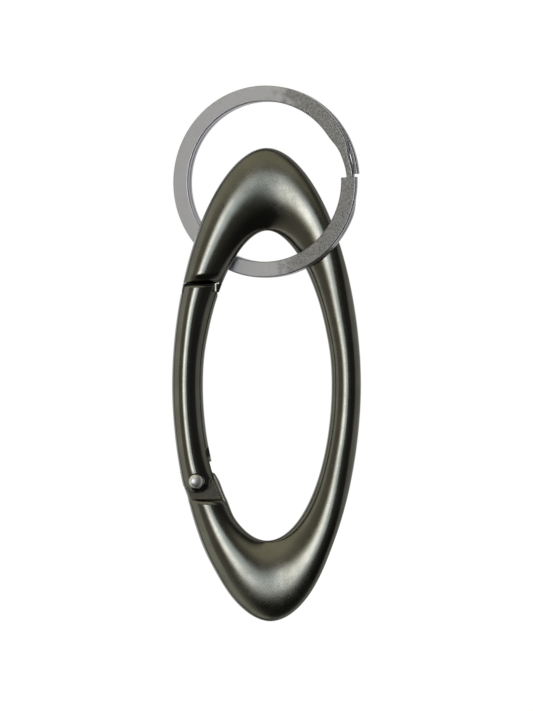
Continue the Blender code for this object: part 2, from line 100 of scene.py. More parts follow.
SHOULDER_LIP_DEPTH = 0.0007
HINGE_SWELL = 0.0004
SWELL_TOP = -0.0132
SWELL_RISE = 0.0022
SWELL_FOOT = -0.0212
SWELL_FALL = 0.0035

# Tongue, latch tooth and gate
TONGUE_THICKNESS = 0.0018
TONGUE_TOP = 0.0013
TONGUE_ROOT = 0.0012
TONGUE_CORNER = 0.0005
FLUSH_STEP = 0.00003
LATCH_THICKNESS = 0.0014
LATCH_DROP = 0.00130
CORNER_DROP = 0.00100
LATCH_ROOT = 0.0011
SLOT_GAP = 0.0003
SEAM = 0.0002
LEFT_ARM_REACH = -0.0060
GATE_TOP_ROUNDING = 0.0004
EAR_RADIUS = 0.0019
EAR_SHIFT = 0.00035
EAR_FOOT = 0.0011
SLOT_WALL_OFFSET = 0.0004
SLOT_CEILING = 0.0023
SLOT_REACH = 0.00420
OUTER_SLOT_GAP = 0.00006
OUTER_WALL = 0.00120
WALL_GAP = 0.00010
WEB_THICKNESS = 0.00056
WEB_SLOT = 0.00072
RECESS_LINE = 0.0026
RECESS_TOP = 0.0046
RECESS_ROUND = 0.0008
RIB_THICKNESS = 0.0011
RECESS_STEP = 0.0031
CHEEK_FACE = 0.0015
EAR_ROUNDING = 0.00025
EAR_SLOPE_DEG = 35.0
EAR_SLOPE_START = (0.0009, 0.0021)
CORNER_CUT = (-0.00899, -0.00856)
CORNER_CUT_HEIGHTS = (0.0146, 0.0155)
BORE_OFFSET = 0.0009
BORE_END = 0.0105
RIDGE_TOP = (0.00257, 0.00098)
RIDGE_FOOT = (0.00415, -0.00308)
RIDGE_DEPTH = 0.0010
RIDGE_RISE_SHARE = 0.30
LATCH_TAPER_SHARE = 0.24
LATCH_TAPER_START = -0.0083
LATCH_TAPER_END = -0.0077
LATCH_OUTER_INSET = 0.00012
TOOTH_FACET = (-0.00870, -0.0081)

# Roundings of the edges on the gate, the tongue and the tooth
EAR_SLOPE_EDGE = 0.00030
SLOT_EDGE = 0.00008
RECESS_EDGE = 0.00010
FINE_EDGE = 0.00005
FLANK_EDGE = 0.00006
TONGUE_EDGE = 0.00012

# How far the shading normals of the ends turn to the left, as slopes on either side, and where that sets in
LEFT_FACE_TURN = -0.16
LEFT_FOOT_TURN = -0.25
LEFT_TURN_START = (0.0015, -0.0045)
RIGHT_FACE_TURN = -0.28
RIGHT_TURN_START = (-0.0042, 0.0038)
TURN_RISE = 0.0200
TURN_AWAY = (0.0100, 0.0250)

# Where the ends turn satin, by height away from the middle, and where the painted shade on the ring's right
# half sets in, by place across
SATIN_AWAY = (0.0260, 0.0325)
SHADE_ACROSS = (0.0, 0.0050)
SHADE_WAVER = 0.0015

# Rivet, follower and spring
RIVET_RADIUS = 0.00080
RIVET_HEAD_RADIUS = 0.00112
RIVET_DOME = 0.00050
RIVET_FLARE = 0.00030
RIVET_PROUD = -0.00020
RUNNING_CLEARANCE = 0.00005
FOLLOWER_RADIUS = 0.00065
FOLLOWER_COLLAR = 0.0019
FOLLOWER_STEM_RADIUS = 0.00024
FOLLOWER_STEM_LENGTH = 0.0012
BORE_CLEARANCE = 0.0001
SPRING_WIRE = 0.00024
SPRING_PITCH = 0.00068

# Split ring
RING_DIAMETER = 0.0300
RING_WIRE_WIDTH = 0.0025
RING_WIRE_THICKNESS = 0.00107
RING_TURN_GAP = 0.00007
RING_EDGE = 0.00024
RING_HANG = 0.00515
RING_SIDE_SHIFT = -0.0001
RING_JOG_OUTER = 0.00080
RING_JOG_INNER = 0.00055
RING_TAIL_WIDTH = 0.00072
RING_TILT_DEG = 27.0
RING_START_DEG = 2.3
RING_END_DEG = 718.0
JOG_DEG = (300.0, 350.0)
OUTER_DIP_DEG = (336.0, 348.0)
INNER_DIP_DEG = (328.0, 344.0)
STEP_BACK_DEG = (340.0, 360.0)
DIP_END_DEG = (360.0, 385.0)
TAIL_DEG = (690.0, 706.0)
JOG_EARLY_SHARE = 0.35

# Fineness
BODY_STATIONS = 400
BODY_SIDES = 72
ROUNDING_STEPS = 10
SEARCH_STEPS = 44
ANGLE_STEP = 0.001
LEVEL_RANGE = (-0.0222, 0.0200)
LEVEL_COUNT = 900
NET_STEP = 0.00008
COARSE_NET_STEP = 2 * NET_STEP
NET_PASSES = 4
HINGE_NET_REACH = 0.0055
FORK_NET_REACH = 0.0024
SLOPE_STEP = 0.000004
LEAST_SLOPE = 0.2
CASTING_SHARP_DEG = 42.0
TURNED_SHARP_DEG = 40.0
ROUND_SIDES = 72
FOLLOWER_SIDES = 40
DOME_STEPS = 14
RING_STEP_DEG = 1.5
SPRING_POINTS_PER_TURN = 28

# Camera: its direction round the object, its distance and what the picture takes in
CAMERA_AZIMUTH_DEG = -9.5
CAMERA_DISTANCE = 0.90
CAMERA_AIM = (-0.00004, 0.0, -0.0198)
CAMERA_CLIP = (0.01, 20.0)
PICTURE_HEIGHT = 0.1111
SENSOR = 36.0
FLOOR_HALF = 1.6
FLOOR_DROP = 0.022

OPENING_WIDTH = BODY_WIDTH - 2 * SIDE_BAR_WIDTH
OPENING_HEIGHT = BODY_HEIGHT - 2 * END_BAR_WIDTH
CENTRE_Z = -OPENING_HEIGHT / 2
GATE_TOP_HEIGHT = NOSE_END_HEIGHT - SEAM
RIVET_REACH = SIDE_BAR_DEPTH / 2 + RIVET_PROUD
RING_CENTRE_Z = RING_DIAMETER / 2 - RING_WIRE_WIDTH - RING_HANG
HINGE = np.array(next(joint for joint in frame["joints"] if joint["name"] == "gate_hinge")["pos_m"])
HINGE_HEIGHT = HINGE[2] - CENTRE_Z
LEAN = math.radians(GATE_LEAN_DEG)
GATE_UP = np.array((-math.sin(LEAN), 0.0, math.cos(LEAN)))
GATE_IN = np.array((math.cos(LEAN), 0.0, math.sin(LEAN)))


def oval_half(angle, power):
    """Share of the half width that an oval has at a parameter angle, with softened tips."""
    soft = TIP_ROUNDING_SHARE ** power
    full = (soft + 1) ** (2 / power) - TIP_ROUNDING_SHARE ** 2
    here = (soft + np.cos(angle) ** 2) ** (2 / power) - TIP_ROUNDING_SHARE ** 2
    return np.sign(np.cos(angle)) * np.sqrt(np.maximum(here, 0) / full)


def smooth_step(value):
    held = np.clip(value, 0, 1)
    return held * held * (3 - 2 * held)


def ramp(value, limits):
    """Smooth share, 0 at the first limit and 1 at the second."""
    return smooth_step((value - limits[0]) / (limits[1] - limits[0]))


def outline_excess(point):
    """Below zero inside the outline, an oval drawn in at its lower left and leaning right at its foot."""
    across, up = point[:, 0], point[:, 1]
    inset = LEFT_INSET * ramp(up, INSET_START) * ramp(up, INSET_END) * ramp(across, (0, -INSET_REACH))
    across = across - TIP_LEAN * ramp(up, LEAN_STRETCH) - inset
    soft = TIP_ROUNDING_SHARE ** OUTLINE_POWER_SHARE
    full = (soft + 1) ** (2 / OUTLINE_POWER_SHARE) - TIP_ROUNDING_SHARE ** 2
    total = -1 - 2 * soft
    for value, half in ((across, BODY_WIDTH / 2), (up, BODY_HEIGHT / 2)):
        total = total + ((value / half) ** 2 * full + TIP_ROUNDING_SHARE ** 2) ** (OUTLINE_POWER_SHARE / 2)
    return total


def opening_edge(angle):
    """Points (x, height) on the edge of the opening, with the swell beside the hinge."""
    at_top = ramp(np.sin(angle), (0, TOP_POWER_RISE_SHARE))
    power = OPENING_POWER_SHARE + (OPENING_TOP_POWER_SHARE - OPENING_POWER_SHARE) * at_top
    across = OPENING_SHIFT + OPENING_WIDTH / 2 * oval_half(angle, power)
    up = OPENING_HEIGHT / 2 * oval_half(angle - math.pi / 2, power)
    up = up - OPENING_TOP_DROP * np.maximum(up, 0) / (OPENING_HEIGHT / 2)
    beside = ramp(up, (SWELL_TOP, SWELL_TOP - SWELL_RISE)) * ramp(up, (SWELL_FOOT, SWELL_FOOT + SWELL_FALL))
    return np.stack((across + np.where(across < 0, HINGE_SWELL * beside, 0), up), -1)


def section_direction(angle):
    """Direction across the bar: level along the arms, turning to vertical at the two ends."""
    tangent = opening_edge(angle + ANGLE_STEP) - opening_edge(angle - ANGLE_STEP)
    normal_angle = np.arctan2(np.abs(tangent[:, 0]), np.abs(tangent[:, 1]))
    rise_share = np.abs(opening_edge(angle)[:, 1]) / (OPENING_HEIGHT / 2)
    turned = normal_angle * smooth_step((rise_share - LEVEL_SECTIONS_SHARE) / (1 - LEVEL_SECTIONS_SHARE))
    return np.stack((np.cos(turned) * np.sign(np.cos(angle)), np.sin(turned) * np.sign(np.sin(angle))), -1)


def section_table(angle):
    """Middle, direction, half width, half depth and crest shift of the bar at parameter angles."""
    inner, direction = opening_edge(angle), section_direction(angle)
    near, far = np.zeros(len(angle)), np.full(len(angle), BODY_WIDTH)
    for _ in range(SEARCH_STEPS):
        middle = (near + far) / 2
        inside = outline_excess(inner + direction * middle[:, None]) < 0
        near, far = np.where(inside, middle, near), np.where(inside, far, middle)
    centre = inner + direction * (near / 2)[:, None]
    reach = np.minimum(np.abs(centre[:, 1]) / ((BODY_HEIGHT - END_BAR_WIDTH) / 2), 1)
    end_share = (1 - np.cos(math.pi * reach)) / 2
    half_depth = (SIDE_BAR_DEPTH + (END_BAR_DEPTH - SIDE_BAR_DEPTH) * end_share) / 2
    end_crest = np.where(centre[:, 1] > 0, TOP_CREST_SHARE, FOOT_CREST_SHARE)
    crest = (ARM_CREST_SHARE + (end_crest - ARM_CREST_SHARE) * end_share) * near / 2
    return centre, direction, near / 2, half_depth, crest


def left_arm_angle(height):
    """Parameter angles of the opening's left edge at heights above the casting's middle."""
    height = np.atleast_1d(np.asarray(height, float))
    low, high = np.full(len(height), math.pi / 2), np.full(len(height), 3 * math.pi / 2)
    for _ in range(SEARCH_STEPS):
        middle = (low + high) / 2
        above = opening_edge(middle)[:, 1] > height
        low, high = np.where(above, middle, low), np.where(above, high, middle)
    return (low + high) / 2


def bar_rings(angle, width_inset, depth_inset):
    """Closed sections of the bar: eggs whose crest lies off the middle."""
    centre, direction, half_width, half_depth, crest = section_table(angle)
    turn = 2 * math.pi * np.arange(BODY_SIDES) / BODY_SIDES
    across = (half_width - width_inset)[:, None] * np.cos(turn) + crest[:, None] * np.sin(turn) ** 2
    depth = (half_depth - depth_inset)[:, None] * np.sin(turn)
    flat = centre[:, None, :] + direction[:, None, :] * across[:, :, None]
    return np.stack((flat[:, :, 0], depth, CENTRE_Z + flat[:, :, 1]), -1)


def make_mesh(name, points, quads, caps=()):
    mesh = bpy.data.meshes.new(name)
    faces = [tuple(map(int, quad)) for quad in quads] + [tuple(cap) for cap in caps]
    mesh.from_pydata(points.tolist(), [], faces)
    mesh.validate()
    mesh.shade_smooth()
    return mesh


def loft_mesh(name, rings):
    """Mesh through sections of equal point count, with flat ends."""
    rows, count = rings.shape[:2]
    here = np.arange(rows - 1)[:, None] * count + np.arange(count)[None, :]
    after = np.arange(rows - 1)[:, None] * count + (np.arange(count)[None, :] + 1) % count
    quads = np.stack((here, after, after + count, here + count), -1).reshape(-1, 4)
    caps = [range(count - 1, -1, -1), range((rows - 1) * count, rows * count)]
    mesh = make_mesh(name, rings.reshape(-1, 3), quads, caps)
    shape = bmesh.new()
    shape.from_mesh(mesh)
    bmesh.ops.recalc_face_normals(shape, faces=shape.faces)
    shape.to_mesh(mesh)
    shape.free()
    return mesh


def add_piece(name, mesh, finish):
    item = bpy.data.objects.new(name, mesh)
    bpy.context.scene.collection.objects.link(item)
    if finish is not None:
        mesh.materials.append(finish)
    return item


# Left arm as functions of height, for the shapes that are cut from it
LEVELS = np.linspace(*LEVEL_RANGE, LEVEL_COUNT)
LEVEL_CENTRE, _, LEVEL_HALF_WIDTH, LEVEL_HALF_DEPTH, LEVEL_CREST = section_table(left_arm_angle(LEVELS))
LEVEL_MIDDLE = LEVEL_CENTRE[:, 0]


def arm_distance(place):
    """Distance outside the left arm's surface, below zero inside it."""
    height = place[:, 2] - CENTRE_Z
    tables = (LEVEL_MIDDLE, LEVEL_HALF_WIDTH, LEVEL_HALF_DEPTH, LEVEL_CREST)
    middle, half_width, half_depth, crest = (np.interp(height, LEVELS, values) for values in tables)
    depth = place[:, 1] / half_depth
    across = middle - place[:, 0] - crest * np.minimum(depth ** 2, 1)
    level = np.sqrt((across / half_width) ** 2 + depth ** 2)
    slope = np.sqrt((across / half_width ** 2) ** 2 + (depth / half_depth) ** 2) + 1e-6
    return level * (level - 1) / slope


def round_max(one, other, radius):
    """Both shapes at once, with their shared edge rounded."""
    first, second = np.maximum(one + radius, 0), np.maximum(other + radius, 0)
    return np.minimum(np.maximum(one, other), -radius) + np.sqrt(first ** 2 + second ** 2)


def hinge_coordinates(place):
    offset = place - HINGE
    return offset[:, 0], offset[:, 2], offset @ GATE_IN, offset @ GATE_UP


def ear_outline(right, up):
    """Below zero above the rounded lower end of the ears."""
    disc = np.hypot(right - EAR_SHIFT, up) - EAR_RADIUS
    above = np.maximum(-up - EAR_FOOT, (right - EAR_SHIFT - EAR_RADIUS - up) / math.sqrt(2))
    return np.minimum(disc, above)


def gate_field(place):
    """Gate: forked at the top, eared, slotted and recessed at the hinge, bored for its spring."""
    height, depth = place[:, 2] - CENTRE_Z, np.abs(place[:, 1])
    right, up, inward, along = hinge_coordinates(place)
    from_rivet = np.hypot(right, up)
    field = round_max(arm_distance(place), height - GATE_TOP_HEIGHT, GATE_TOP_ROUNDING)
    field = round_max(field, ear_outline(right, up), EAR_ROUNDING)
    slope = math.radians(EAR_SLOPE_DEG)
    foot = (depth - EAR_SLOPE_START[1]) * math.cos(slope) - (up + EAR_SLOPE_START[0]) * math.sin(slope)
    field = round_max(field, foot, EAR_SLOPE_EDGE)
    slot = np.maximum(np.maximum(along - SLOT_CEILING, from_rivet - SLOT_REACH), -SLOT_WALL_OFFSET - right)
    slot = np.minimum(up - TONGUE_TOP - OUTER_SLOT_GAP, slot)
    wide = np.maximum(depth - TONGUE_THICKNESS / 2 - SLOT_GAP, -OUTER_WALL - right)
    slot = np.maximum(slot, np.minimum(wide, depth - WEB_SLOT / 2))
    field = round_max(field, -slot, SLOT_EDGE)
    recess = round_max(RECESS_LINE - inward, along - RECESS_TOP, RECESS_ROUND)
    kept = np.where(along > RECESS_STEP, RIB_THICKNESS / 2, CHEEK_FACE)
    field = round_max(field, -np.maximum(recess, kept - depth), RECESS_EDGE)
    floor = NOSE_END_HEIGHT - LATCH_DROP - SEAM
    fork = np.maximum(depth - LATCH_THICKNESS / 2 - SEAM, floor - height)
    field = round_max(field, -fork, SLOT_EDGE)
    slant = (CORNER_CUT[1] - CORNER_CUT[0]) / (CORNER_CUT_HEIGHTS[1] - CORNER_CUT_HEIGHTS[0])
    edge = CORNER_CUT[0] + slant * (height - CORNER_CUT_HEIGHTS[0])
    corner_floor = NOSE_END_HEIGHT - CORNER_DROP - SEAM
    field = round_max(field, -np.maximum(edge - place[:, 0], corner_floor - height), FLANK_EDGE)
    bore = np.maximum(np.hypot(inward - BORE_OFFSET, place[:, 1]) - FOLLOWER_RADIUS - BORE_CLEARANCE,
                      along - BORE_END)
    field = round_max(field, -bore, FINE_EDGE)
    spread = np.clip((depth - RIVET_REACH + RIVET_FLARE) / RIVET_FLARE, 0, 1)
    hole = RIVET_RADIUS + RUNNING_CLEARANCE + spread * (RIVET_HEAD_RADIUS - RIVET_RADIUS)
    return round_max(field, hole - from_rivet, FINE_EDGE)


def tongue_field(place):
    """Tongue under the ears, with a raised ridge inward, and thin behind the gate's outer wall."""
    height, depth = place[:, 2] - CENTRE_Z, np.abs(place[:, 1])
    right, up, _, _ = hinge_coordinates(place)
    line = np.array(RIDGE_FOOT) - np.array(RIDGE_TOP)
    line = line / np.hypot(*line)
    past_line = -line[1] * (right - RIDGE_TOP[0]) + line[0] * (up - RIDGE_TOP[1])
    lift = math.sqrt(1 - RIDGE_RISE_SHARE ** 2)
    crown = lift * (depth - RIDGE_DEPTH) - RIDGE_RISE_SHARE * past_line
    crown = round_max(crown, depth - TONGUE_THICKNESS / 2 - SLOT_GAP + SEAM / 4, FINE_EDGE)
    flank = np.minimum(depth - TONGUE_THICKNESS / 2, round_max(-past_line, crown, FINE_EDGE))
    field = round_max(arm_distance(place) + FLUSH_STEP, flank, FLANK_EDGE)
    edge = np.interp(height, LEVELS, LEVEL_MIDDLE + LEVEL_HALF_WIDTH)
    corner = round_max(place[:, 0] - edge, up - TONGUE_TOP, TONGUE_CORNER)
    field = round_max(field, corner, TONGUE_EDGE)
    behind_wall = np.maximum(right + OUTER_WALL, ear_outline(right, up)) - WALL_GAP
    from_rivet = np.hypot(right, up)
    upper = np.maximum(np.maximum(right, -up), OUTER_WALL - WALL_GAP - from_rivet)
    field = np.maximum(field, -np.maximum(np.minimum(behind_wall, upper), WEB_THICKNESS / 2 - depth))
    field = np.maximum(field, HINGE_HEIGHT - SHOULDER_DROP - TONGUE_ROOT - height)
    return np.maximum(field, RIVET_RADIUS + RUNNING_CLEARANCE - from_rivet)


def tooth_field(place):
    """Latch tooth under the nose, as thick as the gate's fork lets in."""
    height, depth = place[:, 2] - CENTRE_Z, np.abs(place[:, 1])
    tapered = np.clip(place[:, 0], LATCH_TAPER_START, LATCH_TAPER_END) - LATCH_TAPER_START
    half = LATCH_THICKNESS / 2 + LATCH_TAPER_SHARE * tapered
    field = round_max(arm_distance(place) + FLUSH_STEP, depth - half, FLANK_EDGE)
    outer = np.interp(height, LEVELS, LEVEL_MIDDLE - LEVEL_HALF_WIDTH) + LATCH_OUTER_INSET
    field = np.maximum(field, outer - place[:, 0])
    field = round_max(field, NOSE_END_HEIGHT - LATCH_DROP - height, TONGUE_EDGE)
    return np.maximum(field, height - NOSE_END_HEIGHT - LATCH_ROOT)


def slope_of(field, place):
    """Gradient of a field at places."""
    slope = np.empty_like(place)
    for axis in range(3):
        offset = np.zeros(3)
        offset[axis] = SLOPE_STEP
        slope[:, axis] = (field(place + offset) - field(place - offset)) / (2 * SLOPE_STEP)
    return slope


def field_mesh(name, field, xs, ys, zs):
    """Mesh of a field's zero surface on a grid of any spacing, then moved onto the surface itself."""
    grids = (xs, ys, zs)
    shape = tuple(len(grid) for grid in grids)
    places = np.stack(np.meshgrid(xs, ys, zs, indexing="ij"), -1).reshape(-1, 3)
    values = field(places).reshape(shape)
    inside = values < 0
    cells = tuple(size - 1 for size in shape)
    count = np.zeros(cells, np.int8)
    for i in (0, 1):
        for j in (0, 1):
            for k in (0, 1):
                count += inside[i:cells[0] + i, j:cells[1] + j, k:cells[2] + k]
    active = (count > 0) & (count < 8)
    index = np.full(cells, -1)
    index[active] = np.arange(active.sum())
    corner = np.argwhere(active)
    total, hits = np.zeros((len(corner), 3)), np.zeros(len(corner))
    for axis in range(3):
        others = [other for other in range(3) if other != axis]
        for i in (0, 1):
            for j in (0, 1):
                start = corner.copy()
                start[:, others[0]] += i
                start[:, others[1]] += j
                end = start.copy()
                end[:, axis] += 1
                one, two = values[tuple(start.T)], values[tuple(end.T)]
                crossed = (one < 0) != (two < 0)
                share = np.where(crossed, one / np.where(crossed, one - two, 1), 0)
                first = np.stack([grids[a][start[:, a]] for a in range(3)], -1)
                last = np.stack([grids[a][end[:, a]] for a in range(3)], -1)
                total += np.where(crossed[:, None], first + (last - first) * share[:, None], 0)
                hits += crossed
    points = total / hits[:, None]
    quads = []
    for axis in range(3):
        one, two = (other for other in range(3) if other != axis)
        low = [slice(None)] * 3
        high = [slice(None)] * 3
        low[axis], high[axis] = slice(0, -1), slice(1, None)
        changed = inside[tuple(low)] != inside[tuple(high)]
        edge = np.argwhere(changed)
        for side in (one, two):
            edge = edge[(edge[:, side] > 0) & (edge[:, side] < cells[side])]
        solid = inside[tuple(edge.T)]
        around = []
        for i, j in ((-1, -1), (0, -1), (0, 0), (-1, 0)):
            cell = edge.copy()
            cell[:, one] += i
            cell[:, two] += j
            around.append(index[tuple(cell.T)])
        quad = np.stack(around, -1)
        forward = solid if axis != 1 else ~solid
        quad[~forward] = quad[~forward][:, ::-1]
        quads.append(quad)
    for _ in range(NET_PASSES):
        slope = slope_of(field, points)
        size = np.maximum((slope ** 2).sum(1), LEAST_SLOPE)
        step = np.clip(field(points), -NET_STEP, NET_STEP) / size
        points = points - slope * step[:, None]
    mesh = make_mesh(name, points, np.concatenate(quads))
    return mesh, points


def set_normals(mesh, field, points):
    slope = slope_of(field, points)
    slope /= np.maximum(np.linalg.norm(slope, axis=1), 1e-9)[:, None]
    mesh.normals_split_custom_set_from_vertices(slope.tolist())


def spaced(*stretches):
    """Grid lines over stretches of (start, end, step), one after another."""
    lines = []
    for start, end, step in stretches:
        count = max(1, round((end - start) / step))
        lines.append(np.linspace(start, end, count + 1)[:-1])
    return np.concatenate(lines + [[stretches[-1][1]]])


def turned_mesh(name, profile, sides=ROUND_SIDES):
    """Solid of revolution about local Z from (radius, height) points, top to bottom."""
    shape = bmesh.new()
    rows = []
    for radius, height in profile:
        if radius == 0:
            rows.append([shape.verts.new((0, 0, height))])
        else:
            rows.append([shape.verts.new((radius * math.cos(2 * math.pi * side / sides),
                                          radius * math.sin(2 * math.pi * side / sides), height))
                         for side in range(sides)])
    for here, following in zip(rows, rows[1:]):
        for side in range(sides):
            after = (side + 1) % sides
            corners = [here[side % len(here)], here[after % len(here)],
                       following[after % len(following)], following[side % len(following)]]
            corners = [corner for at, corner in enumerate(corners) if corner not in corners[:at]]
            shape.faces.new(corners)
    bmesh.ops.recalc_face_normals(shape, faces=shape.faces)
    mesh = bpy.data.meshes.new(name)
    shape.to_mesh(mesh)
    shape.free()
    mesh.shade_smooth()
    mesh.set_sharp_from_angle(angle=math.radians(TURNED_SHARP_DEG))
    return mesh


def joined(target, tools):
    """The target's mesh after it is joined with the tools, which then go."""
    for tool in tools:
        modifier = target.modifiers.new(tool.name, "BOOLEAN")
        modifier.operation = "UNION"
        modifier.object = tool
        modifier.solver = "EXACT"
    bpy.context.view_layer.update()
    depsgraph = bpy.context.evaluated_depsgraph_get()
    mesh = bpy.data.meshes.new_from_object(target.evaluated_get(depsgraph))
    target.modifiers.clear()
    target.data = mesh
    for tool in tools:
        bpy.data.objects.remove(tool)
    return mesh


# Materials: stretches of a noise that a change is spread over, shares, and pairs of colours to mix
WIDE_NOISE = (0.3, 0.7)
NARROW_NOISE = (0.35, 0.65)
ARM_GRAIN_SHARE = 0.35
CLOUD_SCALE_SHARE = 0.22
PLATING = {"dark": (0.128, 0.126, 0.108), "end_roughness": 0.27}
CAST_COLOURS = ((0.13, 0.12, 0.095, 1), (0.20, 0.19, 0.165, 1))
NICKEL_COLOURS = ((0.43, 0.43, 0.47, 1), (0.48, 0.48, 0.525, 1))
# The darker speckled pair is painted shade on the ring's right half
SHADE_COLOURS = ((0.18, 0.18, 0.19, 1), (0.34, 0.34, 0.36, 1))


class Nodes:
    """Short way to write a node tree. Sockets go by name, with _ for a space, or by place as i0, i1."""

    def __init__(self, tree):
        self.tree = tree

    def add(self, kind, settings=None, **inputs):
        node = self.tree.nodes.new(kind)
        for key, value in (settings or {}).items():
            setattr(node, key, value)
        for key, value in inputs.items():
            by_place = key[0] == "i" and key[1:].isdigit()
            self.put(node.inputs[int(key[1:]) if by_place else key.replace("_", " ")], value)
        return node

    def put(self, socket, value):
        if isinstance(value, bpy.types.NodeSocket):
            self.tree.links.new(value, socket)
        elif isinstance(value, bpy.types.Node):
            self.tree.links.new(value.outputs[0], socket)
        else:
            socket.default_value = value

    def math(self, operation, *values, clamp=False):
        node = self.add("ShaderNodeMath", {"operation": operation, "use_clamp": clamp})
        for socket, value in zip(node.inputs, values):
            self.put(socket, value)
        return node.outputs[0]

    def span(self, value, low, high, to_low=0.0, to_high=1.0, smooth=True):
        """Value mapped from low..high to to_low..to_high, held at both ends."""
        node = self.add("ShaderNodeMapRange", {"interpolation_type": "SMOOTHSTEP" if smooth else "LINEAR"})
        for socket, part in zip(node.inputs, (value, low, high, to_low, to_high)):
            self.put(socket, part)
        return node.outputs[0]

    def noise(self, vector, scale, detail=2.0, roughness=0.5):
        node = self.add("ShaderNodeTexNoise", {}, Vector=vector, Scale=scale, Detail=detail,
                        Roughness=roughness)
        return node.outputs["Fac"]

    def mix(self, share, one, two, kind="MIX"):
        node = self.add("ShaderNodeMix", {"data_type": "RGBA", "blend_type": kind})
        self.put(node.inputs["Factor"], share)
        self.put(node.inputs[6], one)
        self.put(node.inputs[7], two)
        return node.outputs[2]


def new_material(name):
    finish = bpy.data.materials.new(name)
    finish.use_nodes = True
    shader = finish.node_tree.nodes["Principled BSDF"]
    nodes = Nodes(finish.node_tree)
    place = nodes.add("ShaderNodeTexCoord").outputs["Object"]
    return finish, shader, nodes, place


def plated(name, dark, light, arm_roughness, end_roughness, grain):
    """Dark plating: polished along the arms, satin with a fine grain at the two ends."""
    finish, shader, nodes, place = new_material(name)
    shader.inputs["Metallic"].default_value = 1.0
    height = nodes.add("ShaderNodeSeparateXYZ", {}, Vector=place).outputs["Z"]
    away = nodes.math("ABSOLUTE", nodes.math("SUBTRACT", height, CENTRE_Z))
    at_end = nodes.span(away, *SATIN_AWAY)
    cloud = nodes.noise(place, scale=260.0, detail=3.0)
    fine = nodes.noise(place, scale=5200.0, detail=2.0, roughness=0.6)
    blotch = nodes.noise(place, scale=900.0, detail=3.0, roughness=0.55)
    colour = nodes.mix(nodes.span(cloud, *NARROW_NOISE), (*dark, 1), (*light, 1))
    nodes.put(shader.inputs["Base Color"], colour)
    satin = nodes.math("MULTIPLY", at_end, end_roughness - arm_roughness)
    satin = nodes.math("ADD", arm_roughness, satin)
    mottled = nodes.math("ADD", satin, nodes.span(blotch, *WIDE_NOISE, to_low=-0.02, to_high=0.03))
    speckled = nodes.span(fine, 0.3, 0.75, to_low=-0.02, to_high=0.05)
    nodes.put(shader.inputs["Roughness"], nodes.math("ADD", mottled, speckled))
    bump = nodes.add("ShaderNodeBump", {}, Height=fine, Distance=0.00001)
    end_grain = nodes.math("MULTIPLY", at_end, grain)
    nodes.put(bump.inputs["Strength"], nodes.math("ADD", grain * ARM_GRAIN_SHARE, end_grain))
    across = nodes.add("ShaderNodeSeparateXYZ", {}, Vector=place).outputs["X"]
    on_right = nodes.span(across, *RIGHT_TURN_START, 0.0, RIGHT_FACE_TURN)
    rise = (CENTRE_Z - TURN_RISE, CENTRE_Z + TURN_RISE)
    left_turn = nodes.span(height, *rise, LEFT_FOOT_TURN, LEFT_FACE_TURN)
    on_left = nodes.math("MULTIPLY", nodes.span(across, *LEFT_TURN_START), left_turn)
    leaning = nodes.math("ADD", on_left, on_right)
    leaning = nodes.math("MULTIPLY", leaning, nodes.span(away, *TURN_AWAY))
    turn = nodes.add("ShaderNodeCombineXYZ", {}, X=leaning)
    facing = nodes.add("ShaderNodeNewGeometry").outputs["Normal"]
    turned = nodes.add("ShaderNodeVectorMath", {"operation": "ADD"}, i0=facing, i1=turn)
    turned = nodes.add("ShaderNodeVectorMath", {"operation": "NORMALIZE"}, i0=turned)
    nodes.put(bump.inputs["Normal"], turned)
    nodes.put(shader.inputs["Normal"], bump)
    return finish


def cast_flank(name):
    """As-cast flank of the tongue: matte, brownish and pitted."""
    finish, shader, nodes, place = new_material(name)
    shader.inputs["Metallic"].default_value = 1.0
    pits = nodes.noise(place, scale=3200.0, detail=4.0, roughness=0.65)
    cloud = nodes.noise(place, scale=900.0)
    nodes.put(shader.inputs["Base Color"], nodes.mix(cloud, *CAST_COLOURS))
    nodes.put(shader.inputs["Roughness"], nodes.span(pits, *WIDE_NOISE, to_low=0.42, to_high=0.62))
    bump = nodes.add("ShaderNodeBump", {}, Height=pits, Distance=0.00003, Strength=0.6)
    nodes.put(shader.inputs["Normal"], bump)
    return finish


def bright_metal(name, dark, light, roughness, pit_scale, pit_depth, pit_strength):
    """Bare metal with fine pits, small colour changes and uneven gloss; also the near-black painted shade
    on the latch tooth.
    """
    finish, shader, nodes, place = new_material(name)
    shader.inputs["Metallic"].default_value = 1.0
    pits = nodes.noise(place, pit_scale, detail=3.0, roughness=0.6)
    cloud = nodes.noise(place, pit_scale * CLOUD_SCALE_SHARE, detail=3.0, roughness=0.6)
    colour = nodes.mix(nodes.span(cloud, *NARROW_NOISE), (*dark, 1), (*light, 1))
    nodes.put(shader.inputs["Base Color"], colour)
    uneven = nodes.span(cloud, *WIDE_NOISE, to_low=-0.04, to_high=0.04)
    nodes.put(shader.inputs["Roughness"], nodes.math("ADD", roughness, uneven))
    bump = nodes.add("ShaderNodeBump", {}, Height=pits, Distance=pit_depth, Strength=pit_strength)
    nodes.put(shader.inputs["Normal"], bump)
    return finish


